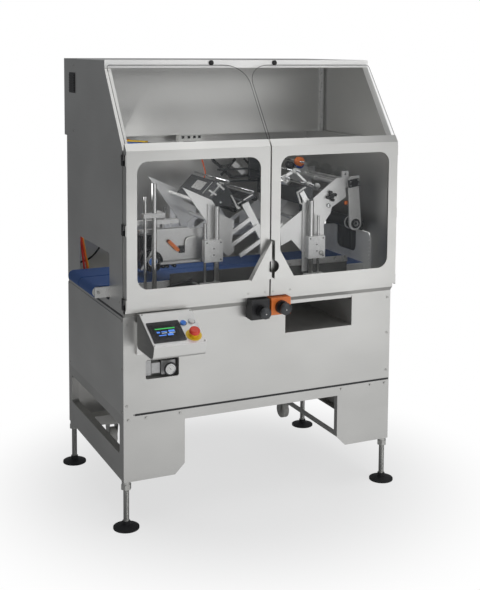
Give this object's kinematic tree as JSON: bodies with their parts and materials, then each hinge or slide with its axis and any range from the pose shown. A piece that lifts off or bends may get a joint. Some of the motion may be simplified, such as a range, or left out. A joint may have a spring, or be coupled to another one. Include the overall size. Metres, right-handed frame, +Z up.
{
  "type": "linerless label applicator",
  "caption": "Label applicator in a sheet-metal housing with two visor doors, belts through both ends, a sliding head on columns, a sloping console and levelling feet.",
  "frame": {"origin": "on the floor under the middle of the machine's outline", "axes": "+X to the right along the belts, +Y to the back, +Z up; the doors and the console face -Y"},
  "size_m": [1.2904, 0.9872, 1.771],
  "materials": {
    "panel": "satin stainless sheet",
    "frame": "grey powder coat",
    "zinc": "zinc plated",
    "chrome": "polished",
    "aluminium": "clear anodised",
    "clear": "clear acrylic",
    "black_plastic": "matt",
    "dark_metal": "dark grey coating",
    "screen": "gloss",
    "belt": "matt blue food belt",
    "red_plastic": "gloss",
    "blue_plastic": "gloss, lit",
    "white_plastic": "gloss",
    "yellow_plastic": "semi-gloss",
    "orange_plastic": "semi-gloss",
    "nylon": "off-white wheel"
  },
  "bodies": {
    "machine": {"end_frames": "frame", "base_beams": "frame", "aprons": "panel", "base_fittings": "zinc", "cabinet_front_panel": "panel", "air_pocket": "panel", "cabinet_panels": "panel", "waste_tray": "panel", "bed_plate": "panel", "enclosure_panels": "panel", "hood_panels": "panel", "hood_header": "panel", "electrical_box": "panel", "electrical_cover": "panel", "door_hinge_leaves": "black_plastic", "console_box": "panel", "console_lid": "panel", "touch_screen": "screen", "button_bezels": "chrome", "estop_base": "yellow_plastic", "key_switch_box": "black_plastic", "door_lock_box": "orange_plastic", "air_regulator": "black_plastic", "conveyor_frame": "aluminium", "conveyor_belts": "belt", "guide_columns": "chrome", "column_feet": "aluminium", "outfeed_guard": "panel"},
    "left_door": {"left_door_panel": "panel", "left_door_glazing": "clear", "left_door_handle": "panel"},
    "right_door": {"right_door_panel": "panel", "right_door_glazing": "clear", "right_door_handle": "panel"},
    "estop": {"estop_button": "red_plastic"},
    "blue": {"blue_button": "blue_plastic"},
    "white": {"white_button": "white_plastic"},
    "key_switch": {"key_switch_knob": "black_plastic"},
    "door_lock": {"door_lock_knob": "black_plastic"},
    "regulator": {"regulator_knob": "black_plastic"},
    "drive": {"drive_roller": "zinc"},
    "tail": {"tail_roller": "zinc"},
    "head": {"head_clamps": "aluminium", "head_plates": "aluminium", "head_arms": "aluminium", "label_chute": "dark_metal", "print_head": "dark_metal"},
    "star": {"star_knob": "black_plastic"},
    "dancer": {"dancer_arm": "aluminium"},
    "spindle": {"roll_spindle": "dark_metal"},
    "discs": {"disc_roller": "clear"},
    "guide": {"guide_bracket": "aluminium"},
    "wheel": {"press_wheel": "black_plastic"},
    "lever": {"clamp_lever": "orange_plastic"},
    "caster_left": {"caster_wheel_left": "nylon"},
    "caster_right": {"caster_wheel_right": "nylon"},
    "front_left_foot": {"foot_front_left": "zinc"},
    "front_right_foot": {"foot_front_right": "zinc"},
    "back_left_foot": {"foot_back_left": "zinc"},
    "back_right_foot": {"foot_back_right": "zinc"}
  },
  "joints": [
    {"name": "left_door_hinge", "type": "hinge", "parent": "machine", "child": "left_door", "pos_m": [-0.588, -0.304, 1.141], "axis": [0, 0, -1], "range_deg": [0, 110]},
    {"name": "right_door_hinge", "type": "hinge", "parent": "machine", "child": "right_door", "pos_m": [0.588, -0.304, 1.141], "axis": [0, 0, 1], "range_deg": [0, 110]},
    {"name": "estop_press", "type": "slide", "parent": "machine", "child": "estop", "axis": [0, 0.4694, -0.883], "range_m": [0, 0.005]},
    {"name": "blue_press", "type": "slide", "parent": "machine", "child": "blue", "axis": [0, 0.4694, -0.883], "range_m": [0, 0.004], "stiffness_N_per_m": 400, "springref_m": -0.002},
    {"name": "white_press", "type": "slide", "parent": "machine", "child": "white", "axis": [0, 0.4694, -0.883], "range_m": [0, 0.004], "stiffness_N_per_m": 400, "springref_m": -0.002},
    {"name": "key_switch_turn", "type": "hinge", "parent": "machine", "child": "key_switch", "pos_m": [-0.044, -0.348, 0.806], "axis": [0, 1, 0], "range_deg": [0, 90]},
    {"name": "door_lock_turn", "type": "hinge", "parent": "machine", "child": "door_lock", "pos_m": [0.043, -0.348, 0.815], "axis": [0, 1, 0], "range_deg": [0, 90]},
    {"name": "regulator_turn", "type": "hinge", "parent": "machine", "child": "regulator", "pos_m": [-0.381, -0.2525, 0.632], "axis": [0, 0, 1], "range_deg": [-180, 180]},
    {"name": "drive_roller_spin", "type": "hinge", "parent": "machine", "child": "drive", "pos_m": [0.622, 0.0725, 0.879], "axis": [0, 1, 0], "continuous": true},
    {"name": "tail_roller_spin", "type": "hinge", "parent": "machine", "child": "tail", "pos_m": [-0.622, 0.0725, 0.879], "axis": [0, 1, 0], "continuous": true},
    {"name": "head_height", "type": "slide", "parent": "machine", "child": "head", "axis": [0, 0, 1], "range_m": [-0.02, 0.1]},
    {"name": "star_knob_turn", "type": "hinge", "parent": "head", "child": "star", "pos_m": [0.392, -0.107, 1.202], "axis": [0, 1, 0], "range_deg": [-180, 180]},
    {"name": "dancer_swing", "type": "hinge", "parent": "head", "child": "dancer", "pos_m": [0.493, 0.085, 1.259], "axis": [0, 1, 0], "range_deg": [-6, 12], "stiffness_Nm_per_rad": 8},
    {"name": "roll_spindle_spin", "type": "hinge", "parent": "dancer", "child": "spindle", "pos_m": [0.505, 0.085, 1.08], "axis": [0, 1, 0], "continuous": true},
    {"name": "disc_roller_spin", "type": "hinge", "parent": "head", "child": "discs", "pos_m": [0.466, 0.085, 1.29], "axis": [0, 1, 0], "continuous": true},
    {"name": "guide_height", "type": "slide", "parent": "machine", "child": "guide", "axis": [0, 0, 1], "range_m": [-0.03, 0.04]},
    {"name": "clamp_lever_turn", "type": "hinge", "parent": "guide", "child": "lever", "pos_m": [-0.329, -0.09, 1.056], "axis": [0, 1, 0], "range_deg": [-40, 30]},
    {"name": "press_wheel_spin", "type": "hinge", "parent": "guide", "child": "wheel", "pos_m": [-0.397, -0.06, 0.981], "axis": [0, 1, 0], "continuous": true},
    {"name": "caster_left_spin", "type": "hinge", "parent": "machine", "child": "caster_left", "pos_m": [-0.421, 0.36, 0.1235], "axis": [1, 0, 0], "continuous": true},
    {"name": "caster_right_spin", "type": "hinge", "parent": "machine", "child": "caster_right", "pos_m": [0.421, 0.36, 0.1235], "axis": [1, 0, 0], "continuous": true},
    {"name": "front_left_foot_screw", "type": "slide", "parent": "machine", "child": "front_left_foot", "axis": [0, 0, -1], "range_m": [-0.04, 0.04]},
    {"name": "front_right_foot_screw", "type": "slide", "parent": "machine", "child": "front_right_foot", "axis": [0, 0, -1], "range_m": [-0.04, 0.04]},
    {"name": "back_left_foot_screw", "type": "slide", "parent": "machine", "child": "back_left_foot", "axis": [0, 0, -1], "range_m": [-0.04, 0.04]},
    {"name": "back_right_foot_screw", "type": "slide", "parent": "machine", "child": "back_right_foot", "axis": [0, 0, -1], "range_m": [-0.04, 0.04]}
  ],
  "couplings": [
    {"joint": "tail_roller_spin", "follows": "drive_roller_spin", "ratio": 1}
  ]
}
